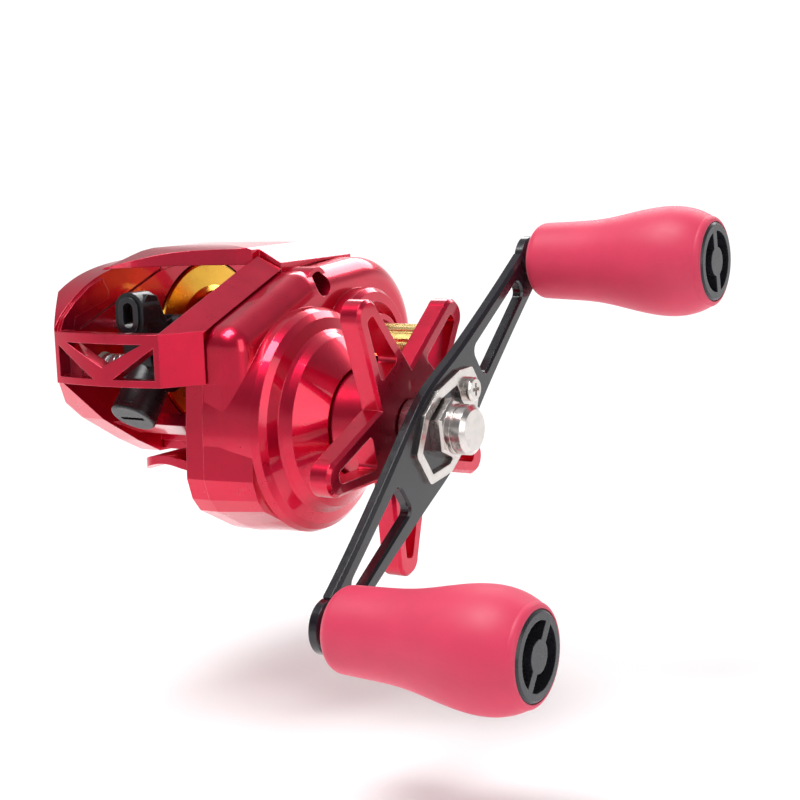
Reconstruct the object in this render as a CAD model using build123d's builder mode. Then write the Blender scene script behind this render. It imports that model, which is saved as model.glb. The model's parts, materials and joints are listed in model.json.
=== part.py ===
from build123d import *

import os
from math import acos, atan2, cos, hypot, pi, radians, sin, tan

# Low-profile baitcasting reel with its handle on the angler's left.
# +X points to the handle, +Y back to the angler, +Z up from the rod.
# The origin is the middle of the reel foot's seat, under the spool.  Millimetres.

# ---- driving dimensions -------------------------------------------------------------
SPOOL = (0.0, 19.5)             # (y, z) of the spool axis
DRIVE = (-18.0, 8.0)            # (y, z) of the handle axis
WORM = (-33.0, 18.8)            # (y, z) of the level-wind worm axis
FRAME_HALF = 12.5               # inner faces of the frame, each side of the centre plane
PLATE = 4.0                     # thickness of the frame's side plates
SEAM_X = FRAME_HALF + PLATE     # where the handle-side cover meets the frame
PALM_X = -SEAM_X                # where the palm-side cover meets the frame
SPOOL_RADIUS = 17.0
RUNNING = 0.1                   # radial clearance of a running fit
WALL = 1.8                      # wall of the two covers
HANDLE_RADIUS = 46.3            # drive axis to either knob axis
HANDLE_ANGLE = 36.67            # slope of the handle arm above the rearward direction
STAR_RADIUS = 28.0
STAR_ANGLE = 48.83              # first star arm above the rearward direction
STAR_X = (44.0, 48.0)           # back and front of the star's arms

MAIN_TEETH = 78
PINION_TEETH = 12
LEVEL_TEETH = 26
IDLER_TEETH = 13
WORM_TEETH = 12
LEVEL_MODULE = 0.6
PRESSURE_ANGLE = radians(25)
ADDENDUM = 0.85                 # in modules
DEDENDUM = 1.1
BACKLASH = 0.06

MAIN_X = (19.2, 23.2)           # toothed width of the main gear
LEVEL_X = (16.8, 18.2)          # toothed width of the level-wind gears
SHAFT_RADIUS = 3.0              # drive shaft
SPOOL_SHAFT_RADIUS = 1.25
WORM_RADIUS = 2.5
PAWL_ANGLE = 231.0              # direction of the pawl from the worm, in the side view


# ---- planes and common shapes -------------------------------------------------------
def side_plane(x, axis=(0.0, 0.0), turn=0.0):
    """Plane facing +X at x; local axes are Y and Z, turned about the given (y, z) axis."""
    angle = radians(turn)
    return Plane(origin=(x, axis[0], axis[1]), x_dir=(0, cos(angle), sin(angle)), z_dir=(1, 0, 0))


def turning_plane(axis):
    """Plane through an axis along X; local x is X and local y is the radius."""
    return Plane(origin=(0, axis[0], axis[1]), x_dir=(1, 0, 0), z_dir=(0, -1, 0))


def x_axis(axis):
    return Axis((0, axis[0], axis[1]), (1, 0, 0))


def polar(axis, radius, degrees):
    return (axis[0] + radius * cos(radians(degrees)), axis[1] + radius * sin(radians(degrees)))


def turned(axis, profile, mode=Mode.ADD):
    """Revolve a closed outline of (x, radius) corners about an axis along X."""
    with BuildSketch(turning_plane(axis)) as section:
        with BuildLine():
            Polyline(*profile, close=True)
        make_face()
    revolve(section.sketch, axis=x_axis(axis), mode=mode)


def tube(axis, x_from, x_to, outer, inner=0.0, mode=Mode.ADD):
    """Straight tube, or a rod where there is no inner radius."""
    with BuildSketch(side_plane(x_from, axis)) as section:
        Circle(outer)
        if inner > 0:
            Circle(inner, mode=Mode.SUBTRACT)
    extrude(section.sketch, amount=x_to - x_from, mode=mode)


def slab(points, x_from, x_to, mode=Mode.ADD):
    """Extrude a closed side-view outline of (y, z) corners across X."""
    with BuildSketch(side_plane(x_from)) as section:
        with BuildLine():
            Polyline(*points, close=True)
        make_face()
    extrude(section.sketch, amount=x_to - x_from, mode=mode)


def bearing(axis, x_from, x_to, outer, inner):
    """Shielded ball bearing: two rings with a shallow shield between them."""
    shield = 0.25
    rim = (outer - inner) * 0.28
    turned(axis, [
        (x_from, inner), (x_to, inner), (x_to, inner + rim), (x_to - shield, inner + rim),
        (x_to - shield, outer - rim), (x_to, outer - rim), (x_to, outer), (x_from, outer),
        (x_from, outer - rim), (x_from + shield, outer - rim), (x_from + shield, inner + rim),
        (x_from, inner + rim),
    ])


# ---- gear teeth ---------------------------------------------------------------------
def involute(angle):
    return tan(angle) - angle


def tooth_half_angle(radius, pitch_radius, module, teeth):
    """Half the angle that a tooth covers at a radius; straight below the base circle."""
    base = pitch_radius * cos(PRESSURE_ANGLE)
    at_radius = acos(min(1.0, base / radius))
    half_at_pitch = pi / (2 * teeth) - BACKLASH * module / pitch_radius
    return half_at_pitch + involute(PRESSURE_ANGLE) - involute(at_radius)


def gear_points(teeth, module, phase):
    """Outline of a spur gear with a tooth centred on the phase angle, in radians."""
    pitch_radius = module * teeth / 2
    root = pitch_radius - DEDENDUM * module
    tip = pitch_radius + ADDENDUM * module
    radii = [root, pitch_radius * 0.985, (pitch_radius + tip) / 2, tip]
    points = []
    for tooth in range(teeth):
        middle = phase + 2 * pi * tooth / teeth
        halves = [(r, tooth_half_angle(r, pitch_radius, module, teeth)) for r in radii]
        flank_in = [(r, middle - half) for r, half in halves]
        flank_out = [(r, middle + half) for r, half in reversed(halves)]
        points += [(r * cos(angle), r * sin(angle)) for r, angle in flank_in + flank_out]
    return points


def mesh_phase(phase, teeth, direction, other_teeth):
    """Phase of the second gear of a pair, so that its gap meets the first gear's tooth."""
    first = (direction - phase) * teeth / (2 * pi)
    return direction + pi - (0.5 - first) * 2 * pi / other_teeth


def direction_between(start, end):
    return atan2(end[1] - start[1], end[0] - start[0])


def gear(axis, x_range, teeth, module, phase, bore):
    with BuildSketch(side_plane(x_range[0], axis)) as section:
        with BuildLine():
            Polyline(*gear_points(teeth, module, phase), close=True)
        make_face()
        Circle(bore, mode=Mode.SUBTRACT)
    extrude(section.sketch, amount=x_range[1] - x_range[0])


CENTRES = hypot(SPOOL[0] - DRIVE[0], SPOOL[1] - DRIVE[1])
MAIN_MODULE = 2 * CENTRES / (MAIN_TEETH + PINION_TEETH)
MAIN_PITCH = MAIN_MODULE * MAIN_TEETH / 2
MAIN_PHASE = direction_between(DRIVE, SPOOL)
PINION_PHASE = mesh_phase(MAIN_PHASE, MAIN_TEETH, MAIN_PHASE, PINION_TEETH)


def idler_axis():
    """The idler meets both the drive-shaft gear and the worm gear, below their line."""
    to_drive = LEVEL_MODULE * (LEVEL_TEETH + IDLER_TEETH) / 2
    to_worm = LEVEL_MODULE * (IDLER_TEETH + WORM_TEETH) / 2
    span = hypot(WORM[0] - DRIVE[0], WORM[1] - DRIVE[1])
    at_drive = acos((to_drive**2 + span**2 - to_worm**2) / (2 * to_drive * span))
    angle = direction_between(DRIVE, WORM) + at_drive
    return (DRIVE[0] + to_drive * cos(angle), DRIVE[1] + to_drive * sin(angle))


IDLER = idler_axis()
LEVEL_PHASE = direction_between(DRIVE, IDLER)
IDLER_PHASE = mesh_phase(LEVEL_PHASE, LEVEL_TEETH, LEVEL_PHASE, IDLER_TEETH)
WORM_PHASE = mesh_phase(IDLER_PHASE, IDLER_TEETH, direction_between(IDLER, WORM), WORM_TEETH)


# ---- outlines of the body -----------------------------------------------------------
SEAM_LOW = (-39.0, 17.2)        # foot of the joint between cover and hood
SEAM_HIGH = (-39.0, 26.7)       # bend in that joint
SEAM_TOP = (-15.5, 35.7)        # top end of that joint, at the bridge
DRIVE_LOBE = 22.0
PALM_LOBE = 20.0                # round boss of the palm side, about the spool axis
LOBE_REAR = polar(DRIVE, DRIVE_LOBE, -30)
LOBE_BOTTOM = polar(DRIVE, DRIVE_LOBE, -90)
LOBE_FRONT = polar(DRIVE, DRIVE_LOBE, -118)
# Front edge of the handle side, from the lobe up to the seam with the hood.
FRONT_EDGE = [
    (-33.0, -9.0), (-36.8, -7.0), (-38.9, -4.4), (-40.2, -0.4), (-39.8, 8.0),
]


def handle_outline():
    """Side view of the handle side: faceted front wall, drive lobe, rounded back."""
    with BuildLine() as outline:
        Polyline(
            LOBE_FRONT, *FRONT_EDGE, SEAM_LOW, SEAM_HIGH, SEAM_TOP, (-5.0, 36.9), (4.0, 37.2),
        )
        ThreePointArc((4.0, 37.2), (17.2, 32.4), (22.3, 19.5))
        ThreePointArc((22.3, 19.5), (20.8, 11.8), (16.0, 5.4))
        Line((16.0, 5.4), LOBE_REAR)
        ThreePointArc(LOBE_REAR, LOBE_BOTTOM, LOBE_FRONT)
    make_face(outline.edges())


def palm_outline():
    """Side view of the palm side: ring round the spool with a nose for the worm."""
    with BuildLine() as outline:
        Polyline(
            (-6.0, -1.0), (-18.0, -0.5), (-24.5, 2.7), (-34.4, 8.5), (-45.0, 17.2),
            SEAM_LOW, SEAM_HIGH, SEAM_TOP, (-5.0, 37.6), (4.0, 37.9),
        )
        ThreePointArc((4.0, 37.9), (17.5, 32.8), (22.3, 19.5))
        ThreePointArc((22.3, 19.5), (16.5, 5.0), (4.0, -1.0))
        Line((4.0, -1.0), (-6.0, -1.0))
    make_face(outline.edges())


def palm_nose_cut():
    """Slants the front of the palm side in line with the hood's cheek."""
    with BuildSketch(Plane.XY.offset(-5)) as nose:
        with BuildLine():
            Polyline((-12.5, -46.3), (-24.5, -29.7), (-24.5, -60), (-12.5, -60), close=True)
        make_face()
    extrude(nose.sketch, amount=50, mode=Mode.SUBTRACT)


# ---- frame --------------------------------------------------------------------------
THUMB_SLOT = ((14.8, 19.6), (16.8, 24.7))   # (y range, z range) of the thumb bar's slot
SHAFT_BEARING_RADIUS = 4.5
PINION_HOLE = 5.0
WORM_BUSH_RADIUS = 2.8
GUIDE_ROD = (-28.8, 26.6)
GUIDE_ROD_RADIUS = 1.0
SPOOL_OPENING = 17.4
POST_AXES = [(4.0, 27.5), (6.0, 11.5)]
COVER_SCREWS = [(-11.0, 33.3), (16.2, 12.4)]
PALM_SCREWS = [(-15.5, 31.2), (-30.5, 9.5), (10.5, 3.0)]
FOOT_SCREWS = [(x, y) for x in (-9.0, 9.0) for y in (-14.0, 14.0)]
BRIDGE_PINS = [(x, y) for x in (-14.5, 14.5) for y in (-13.0, -9.6)]

with BuildPart() as frame:
    with BuildSketch(side_plane(FRAME_HALF)) as handle_plate:
        handle_outline()
    extrude(handle_plate.sketch, amount=PLATE)
    with BuildSketch(side_plane(PALM_X)) as palm_plate:
        palm_outline()
    extrude(palm_plate.sketch, amount=PLATE)
    palm_nose_cut()
    # Cross bars: two under the spool, a thin pair in front and one behind.
    slab([(-17.5, 1.7), (-11.5, 1.7), (-11.5, 4.6), (-14.5, 6.6), (-17.5, 6.6)], -FRAME_HALF, FRAME_HALF)
    slab([(11.5, 1.7), (17.5, 1.7), (17.5, 6.6), (14.5, 6.6), (11.5, 4.6)], -FRAME_HALF, FRAME_HALF)
    slab([(-31.5, 7.6), (-23.5, 4.2), (-22.5, 6.2), (-30.5, 9.8)], -FRAME_HALF, FRAME_HALF)
    slab([(18.6, 9.5), (21.2, 12.5), (21.4, 15.6), (19.2, 14.6)], -FRAME_HALF, FRAME_HALF)
    # Openings through the plates.
    tube(SPOOL, PALM_X, -FRAME_HALF, SPOOL_OPENING, mode=Mode.SUBTRACT)
    tube(SPOOL, FRAME_HALF, SEAM_X, PINION_HOLE, mode=Mode.SUBTRACT)
    tube(SPOOL, FRAME_HALF, FRAME_HALF + 0.6, SPOOL_OPENING, mode=Mode.SUBTRACT)
    tube(DRIVE, FRAME_HALF + 0.8, SEAM_X, SHAFT_BEARING_RADIUS, mode=Mode.SUBTRACT)
    for x_from in (-SEAM_X, FRAME_HALF):
        tube(WORM, x_from, x_from + PLATE, WORM_BUSH_RADIUS, mode=Mode.SUBTRACT)
        tube(GUIDE_ROD, x_from, x_from + PLATE, GUIDE_ROD_RADIUS, mode=Mode.SUBTRACT)
    for post in POST_AXES + [IDLER]:
        tube(post, FRAME_HALF + 1, SEAM_X, 1.0, mode=Mode.SUBTRACT)
    for screw in COVER_SCREWS:
        tube(screw, FRAME_HALF + 1, SEAM_X, 1.2, mode=Mode.SUBTRACT)
    for screw in PALM_SCREWS:
        tube(screw, PALM_X, -FRAME_HALF - 1, 1.0, mode=Mode.SUBTRACT)
    with BuildSketch(side_plane(FRAME_HALF)) as thumb_slot:
        with Locations((sum(THUMB_SLOT[0]) / 2, sum(THUMB_SLOT[1]) / 2)):
            Rectangle(THUMB_SLOT[0][1] - THUMB_SLOT[0][0], THUMB_SLOT[1][1] - THUMB_SLOT[1][0])
    extrude(thumb_slot.sketch, amount=PLATE, mode=Mode.SUBTRACT)
    with BuildSketch(Plane.XY.offset(1.7)) as foot_holes:
        with Locations(*FOOT_SCREWS):
            Circle(1.0)
    extrude(foot_holes.sketch, amount=2.6, mode=Mode.SUBTRACT)
    with BuildSketch(Plane.XY.offset(34.6)) as pin_holes:
        with Locations(*BRIDGE_PINS):
            Circle(1.0)
    extrude(pin_holes.sketch, amount=8, mode=Mode.SUBTRACT)

# ---- reel foot ----------------------------------------------------------------------
FOOT_WIDTH = 13.0
FOOT_FRONT = -31.8
FOOT_REAR = 29.0
FOOT_THICK = 1.7
FOOT_SADDLE = 12.0              # radius that sits on the rod's reel seat

with BuildPart() as reel_foot:
    with BuildSketch(Plane(origin=(0, FOOT_FRONT, 0), x_dir=(-1, 0, 0), z_dir=(0, 1, 0))) as saddle:
        with Locations((0, -FOOT_SADDLE)):
            Circle(FOOT_SADDLE + FOOT_THICK)
            Circle(FOOT_SADDLE, mode=Mode.SUBTRACT)
        with Locations((0, 0)):
            Rectangle(FOOT_WIDTH, 8, mode=Mode.INTERSECT)
    extrude(saddle.sketch, amount=FOOT_REAR - FOOT_FRONT)
    with BuildSketch(Plane.XY) as middle:
        Rectangle(2 * FRAME_HALF, 35.0)
    extrude(middle.sketch, amount=FOOT_THICK)
    # The ends of the tabs are rounded in plan, to slide under the seat's hoods.
    with BuildSketch(Plane.XY.offset(-5)) as plan:
        with Locations((0, 0)):
            RectangleRounded(2 * FRAME_HALF, 35.0, 1.0)
        with Locations((0, (FOOT_FRONT + FOOT_REAR) / 2)):
            RectangleRounded(FOOT_WIDTH, FOOT_REAR - FOOT_FRONT, 4.0)
    extrude(plan.sketch, amount=10, mode=Mode.INTERSECT)
    with Locations(*[Location((x, y, 0), (180, 0, 0)) for x, y in FOOT_SCREWS]):
        CounterSinkHole(1.05, 2.0, depth=4, counter_sink_angle=90)

with BuildPart() as foot_screws:
    for x, y in FOOT_SCREWS:
        with BuildSketch(Plane(origin=(x, y, 0), x_dir=(1, 0, 0), z_dir=(0, -1, 0))) as screw_half:
            with BuildLine():
                Polyline((0, 0.15), (1.8, 0.15), (1.0, 0.95), (1.0, 4.1), (0, 4.1), close=True)
            make_face()
        revolve(screw_half.sketch, axis=Axis((x, y, 0), (0, 0, 1)))
        with BuildSketch(Plane.XY) as recess:
            with Locations((x, y)):
                Rectangle(2.0, 0.5)
                Rectangle(0.5, 2.0)
        extrude(recess.sketch, amount=0.6, mode=Mode.SUBTRACT)

# ---- front hood ---------------------------------------------------------------------
HOOD_FRONT = -46.2              # y of the hood's front corners
HOOD_BOW = 1.4                  # how far its middle stands further forward
HOOD_HALF = 12.6
HOOD_OUT = 17.8                 # half width where the hood meets the covers
HOOD_LOW = 17.3
HOOD_TOP = 27.0
HOOD_BAR = 1.3                  # width of the truss bars
HOOD_DEEP = 3.0                 # front to back of the truss panel


def hood_plan():
    """Top view of the hood's front: a bowed panel between two slanting cheeks."""
    with BuildLine() as outline:
        ThreePointArc((-HOOD_HALF, HOOD_FRONT), (0, HOOD_FRONT - HOOD_BOW), (HOOD_HALF, HOOD_FRONT))
        Polyline(
            (HOOD_HALF, HOOD_FRONT), (HOOD_OUT, SEAM_LOW[0]), (HOOD_OUT, 0),
            (-HOOD_OUT, 0), (-HOOD_OUT, SEAM_LOW[0]), (-HOOD_HALF, HOOD_FRONT),
        )
    make_face(outline.edges())


def triangle(corners):
    with BuildLine() as outline:
        Polyline(*corners, close=True)
    make_face(outline.edges(), mode=Mode.SUBTRACT)


CHEEK_EDGE = (-45.2, 27.5)      # foot of the handle-side cheek's inner top edge
CHEEK_SLOPE = 21.1
SEAM_GAP = 0.35
HOOD_SEAM = [
    (SEAM_TOP[0] + 0.6, SEAM_TOP[1] + 0.7), (SEAM_HIGH[0] + 0.1, SEAM_HIGH[1] + 0.4),
    (SEAM_HIGH[0] - SEAM_GAP, SEAM_HIGH[1]), (SEAM_LOW[0] - SEAM_GAP, HOOD_LOW),
]
PALM_RIM_X = -11.7              # inner face of the palm-side cheek's thick upper rim

with BuildPart() as front_hood:
    # Handle-side cheek: its top runs straight up to the bridge and slopes outward.
    cheek_top = (-15.4, CHEEK_EDGE[1] + (CHEEK_EDGE[0] + 15.4) * -tan(radians(CHEEK_SLOPE)))
    slab([(-45.6, HOOD_LOW), (-47.9, HOOD_TOP), CHEEK_EDGE, cheek_top] + HOOD_SEAM, FRAME_HALF, HOOD_OUT)
    slope = Plane(origin=(FRAME_HALF, CHEEK_EDGE[0], CHEEK_EDGE[1]), x_dir=(1, 0, 0),
                  z_dir=(0, cos(radians(CHEEK_SLOPE)), sin(radians(CHEEK_SLOPE))))
    with BuildSketch(slope.offset(-4)) as bevel:
        with BuildLine():
            Polyline((0, 0), (5.6, 2.7), (5.6, -3), (0, -3), close=True)
        make_face()
    extrude(bevel.sketch, amount=40, mode=Mode.SUBTRACT)
    # Palm-side cheek: its top is a long curve.
    with BuildSketch(side_plane(-HOOD_OUT)) as palm_cheek:
        with BuildLine():
            Polyline((-45.6, HOOD_LOW), (-47.9, HOOD_TOP), (-46.6, 26.9))
            Spline((-46.6, 26.9), (-44.6, 29.5), (-41.3, 32.2), (-36.8, 34.9), (-29.5, 37.3), (-15.2, 38.6))
            Polyline((-15.2, 38.6), *HOOD_SEAM, (-45.6, HOOD_LOW))
        make_face()
    extrude(palm_cheek.sketch, amount=HOOD_OUT - FRAME_HALF)
    # Truss panel across the front: three triangular windows between thin bars.
    node_z = HOOD_LOW + 2.4
    inner_low = HOOD_LOW + HOOD_BAR
    inner_top = HOOD_TOP - HOOD_BAR * 1.4
    edge = HOOD_HALF - 1.1
    with BuildSketch(Plane(origin=(0, HOOD_FRONT + 4, 0), x_dir=(1, 0, 0), z_dir=(0, -1, 0))) as truss:
        with Locations((0, (HOOD_LOW + HOOD_TOP) / 2)):
            Rectangle(2 * HOOD_OUT - 1.4, HOOD_TOP - HOOD_LOW)
        triangle([(-edge + 2.4, inner_top), (edge - 2.4, inner_top), (0, node_z + 1.1)])
        triangle([(-edge, inner_top - 0.6), (-edge, inner_low), (-2.3, inner_low)])
        triangle([(edge, inner_top - 0.6), (edge, inner_low), (2.3, inner_low)])
    extrude(truss.sketch, amount=8)
    with BuildSketch(Plane.XY.offset(0)) as outside:
        hood_plan()
    extrude(outside.sketch, amount=45, mode=Mode.INTERSECT)
    with BuildSketch(Plane.XY.offset(0)) as behind_truss:
        with BuildLine():
            ThreePointArc(
                (-FRAME_HALF, HOOD_FRONT + HOOD_DEEP), (0, HOOD_FRONT - HOOD_BOW + HOOD_DEEP),
                (FRAME_HALF, HOOD_FRONT + HOOD_DEEP),
            )
            Polyline(
                (FRAME_HALF, HOOD_FRONT + HOOD_DEEP), (FRAME_HALF, 0), (-FRAME_HALF, 0),
                (-FRAME_HALF, HOOD_FRONT + HOOD_DEEP),
            )
        make_face()
    extrude(behind_truss.sketch, amount=45, mode=Mode.SUBTRACT)
    slab([(-45.6, 26.9), (-44.3, 29.3), (-41.2, 31.9), (-36.7, 34.6), (-33.0, 35.9), (-31.4, 33.2),
          (-31.5, 31.8), (-41.2, 29.2), (-41.8, 26.8)], -FRAME_HALF - 0.5, PALM_RIM_X)

# ---- top bridge ---------------------------------------------------------------------
BRIDGE_TOP = 40.8
BRIDGE_UNDER = 37.4
BRIDGE_HALF = 17.5
FOOT_START = -14.6              # front of the bridge's feet, just behind the hood

with BuildPart() as top_bridge:
    # Cross section: nearly flat on top, sloping down to both covers.
    with BuildSketch(Plane(origin=(0, -36, 0), x_dir=(-1, 0, 0), z_dir=(0, 1, 0))) as crown:
        with BuildLine():
            Line((-BRIDGE_HALF, 37.6), (-11.6, BRIDGE_TOP - 0.1))
            ThreePointArc((-11.6, BRIDGE_TOP - 0.1), (0, BRIDGE_TOP + 0.3), (11.6, BRIDGE_TOP - 0.1))
            Polyline((11.6, BRIDGE_TOP - 0.1), (BRIDGE_HALF, 37.6), (BRIDGE_HALF, 33.0), (FRAME_HALF, 33.0),
                     (FRAME_HALF, BRIDGE_UNDER), (-FRAME_HALF, BRIDGE_UNDER), (-FRAME_HALF, 33.0),
                     (-BRIDGE_HALF, 33.0), (-BRIDGE_HALF, 37.6))
        make_face()
    extrude(crown.sketch, amount=50)
    # Side view: rises from the palm-side corner, then falls behind the spool's top.
    with BuildSketch(side_plane(-BRIDGE_HALF)) as crest:
        with BuildLine():
            Spline((-34.0, 37.5), (-28.0, 38.5), (-22.0, 39.9), (-16.0, 40.9), (-8.0, 41.1), (0, 40.7),
                   (6.0, 39.5), (11.5, 37.0))
            Polyline((11.5, 37.0), (11.5, 33.0), (-34.0, 33.0), (-34.0, 37.5))
        make_face()
    extrude(crest.sketch, amount=2 * BRIDGE_HALF, mode=Mode.INTERSECT)
    # Top view: it starts between the hood's cheeks, and its rear is hollowed for the thumb.
    between = FRAME_HALF - 0.05
    with BuildSketch(Plane.XY.offset(30)) as bridge_plan:
        with BuildLine():
            Spline((-between, -32.0), (-8.0, -25.2), (-3.0, -21.4), (3.0, -19.6), (10.0, -18.7))
            Polyline((10.0, -18.7), (between, -17.0), (between, FOOT_START), (BRIDGE_HALF, FOOT_START),
                     (BRIDGE_HALF, 9.5), (FRAME_HALF, 9.5))
            ThreePointArc((FRAME_HALF, 9.5), (0, 3.6), (-FRAME_HALF, 9.5))
            Polyline((-FRAME_HALF, 9.5), (PALM_X, 9.5), (PALM_X, FOOT_START), (-between, FOOT_START),
                     (-between, -32.0))
        make_face()
    extrude(bridge_plan.sketch, amount=20, mode=Mode.INTERSECT)
    # Its feet rest on the tops of the side plates.
    with BuildSketch(side_plane(FRAME_HALF - 0.2)) as handle_top:
        handle_outline()
    extrude(handle_top.sketch, amount=BRIDGE_HALF - FRAME_HALF + 1, mode=Mode.SUBTRACT)
    with BuildSketch(side_plane(-BRIDGE_HALF)) as palm_top:
        palm_outline()
    extrude(palm_top.sketch, amount=BRIDGE_HALF - FRAME_HALF + 0.2, mode=Mode.SUBTRACT)
    with BuildSketch(Plane.XY.offset(30)) as pin_bores:
        with Locations(*BRIDGE_PINS):
            Circle(1.0)
    extrude(pin_bores.sketch, amount=8.0, mode=Mode.SUBTRACT)


def screw_set(places, head_radius, shank_radius, x_head, x_end):
    """Cross-recess screws along X; the head ends at x_head and the shank at x_end."""
    outward = 1 if x_head > x_end else -1
    head = 1.5
    recess = 0.7
    for place in places:
        turned(place, [
            (x_head, 0), (x_head, head_radius - 0.4), (x_head - outward * 0.4, head_radius),
            (x_head - outward * head, head_radius), (x_head - outward * head, shank_radius),
            (x_end, shank_radius), (x_end, 0),
        ])
        with BuildSketch(side_plane(x_head, place)) as cross:
            Rectangle(2.4, 0.6)
            Rectangle(0.6, 2.4)
        extrude(cross.sketch, amount=-outward * recess, mode=Mode.SUBTRACT)


with BuildPart() as bridge_pins:
    with BuildSketch(Plane.XY.offset(34.8)) as pin_ends:
        with Locations(*BRIDGE_PINS):
            Circle(1.0)
    extrude(pin_ends.sketch, amount=3.0)

# ---- handle-side cover --------------------------------------------------------------
COVER_FACE = 25.0               # outer face over the spool lobe
COVER_ROUND = 4.6
WALL_X = 27.0                   # outer edge of the wall round the main gear
LOBE_TAPER = 5.0                # that wall leans inward, degrees
DOME = [(28.4, 20.8), (29.4, 19.6), (30.3, 17.4), (31.0, 16.9), (32.5, 16.1), (36.7, 10.6)]
DOME_MOUTH = 34.2               # floor of the recess that takes the star's collar
CLUTCH_BEARING_X = (27.6, 33.0)
CLUTCH_BEARING_RADIUS = 8.0
BOSS_RADIUS = 12.1
BOSS_X = 28.9
BOSS_GROOVE = (7.2, 9.4)
CAP_TUBE = (4.2, 36.0)          # radius and outer end of the threaded tube under the cap
CAP_TUBE_RADIUS = 7.0
PINION_BEARING_X = (25.3, 27.3)
SHAFT_END_BEARING_X = (32.0, 34.6)

def spool_lobe_outline():
    """Side view of the raised part of the cover round the spool axis."""
    with BuildLine() as outline:
        Polyline((-24.0, -2.0), (-39.4, 8.0), SEAM_LOW, SEAM_HIGH, SEAM_TOP, (4.0, 37.2))
        ThreePointArc((4.0, 37.2), (17.2, 32.4), (22.3, 19.5))
        ThreePointArc((22.3, 19.5), (20.6, 11.6), (15.4, 5.2))
        Line((15.4, 5.2), (-24.0, -2.0))
    make_face(outline.edges())


with BuildPart() as handle_side_cover:
    with BuildSketch(side_plane(SEAM_X)) as spool_lobe:
        spool_lobe_outline()
        fillet(spool_lobe.vertices(), radius=5)
    extrude(spool_lobe.sketch, amount=COVER_FACE - SEAM_X)
    fillet(handle_side_cover.faces().sort_by(Axis.X)[-1].edges(), radius=COVER_ROUND)
    with BuildSketch(side_plane(SEAM_X)) as drive_lobe:
        with Locations(DRIVE):
            Circle(DRIVE_LOBE)
        with BuildLine():
            Polyline(LOBE_FRONT, *FRONT_EDGE, (-36.0, 20.0), DRIVE, close=True)
        make_face()
    extrude(drive_lobe.sketch, amount=WALL_X - SEAM_X, taper=LOBE_TAPER)
    turned(DRIVE, [(SEAM_X + 1, 0), (SEAM_X + 1, DRIVE_LOBE - 0.2), (WALL_X, 21.4)] + DOME + [(36.7, 0)])
    turned(SPOOL, [(20.0, 0), (20.0, BOSS_RADIUS), (BOSS_X - 1.0, BOSS_RADIUS),
                   (BOSS_X, BOSS_RADIUS - 0.8), (BOSS_X, 0)])
    # Inside: the gear space, with the dome's hollow stepped down to the one-way clutch.
    with BuildSketch(side_plane(SEAM_X)) as gear_space:
        handle_outline()
        offset(amount=-WALL, kind=Kind.ARC)
    extrude(gear_space.sketch, amount=23.2 - SEAM_X, mode=Mode.SUBTRACT)
    turned(DRIVE, [(SEAM_X, 0), (SEAM_X, 20.1), (24.6, 20.1), (26.2, 16.0), (CLUTCH_BEARING_X[0], 14.0),
                   (CLUTCH_BEARING_X[0], 0)], mode=Mode.SUBTRACT)
    # Solid columns round the screws and the pinion's bearing.
    for screw in COVER_SCREWS:
        tube(screw, SEAM_X, 23.4, 3.3)
    tube(SPOOL, 23.2, BOSS_X + 1.4, CAP_TUBE_RADIUS)
    tube(SPOOL, BOSS_X, CAP_TUBE[1], CAP_TUBE[0])
    tube(SPOOL, 26.8, BOSS_X, BOSS_GROOVE[1], BOSS_GROOVE[0], mode=Mode.SUBTRACT)
    tube(SPOOL, 28.6, CAP_TUBE[1] + 1, 5.9, CAP_TUBE[0], mode=Mode.SUBTRACT)
    tube(SPOOL, 23.0, PINION_BEARING_X[1], 4.5, mode=Mode.SUBTRACT)
    tube(SPOOL, PINION_BEARING_X[1], SHAFT_END_BEARING_X[0], 2.7, mode=Mode.SUBTRACT)
    tube(SPOOL, SHAFT_END_BEARING_X[0], CAP_TUBE[1], 3.4, mode=Mode.SUBTRACT)
    tube(DRIVE, CLUTCH_BEARING_X[0] - 0.1, CLUTCH_BEARING_X[1], CLUTCH_BEARING_RADIUS, mode=Mode.SUBTRACT)
    tube(DRIVE, CLUTCH_BEARING_X[1], DOME_MOUTH, 6.4, mode=Mode.SUBTRACT)
    tube(DRIVE, DOME_MOUTH, 37.0, 10.6, mode=Mode.SUBTRACT)
    for screw in COVER_SCREWS:
        tube(screw, SEAM_X, 30.0, 1.25, mode=Mode.SUBTRACT)
        tube(screw, 19.4, 30.0, 2.35, mode=Mode.SUBTRACT)
    # Relief over the clutch yoke's posts.
    for post in POST_AXES:
        tube(post, 22.0, 23.6, 2.4, mode=Mode.SUBTRACT)

with BuildPart() as cover_screws:
    screw_set(COVER_SCREWS, 2.2, 1.2, 20.9, 13.7)

# ---- palm-side cover ----------------------------------------------------------------
PALM_FACE = -19.6
PALM_END = -21.6
DIAL_RADIUS = 10.0
CARRIER_X = (-17.4, -16.8)
PALM_BEARING_X = (-18.6, -16.2)

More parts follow.
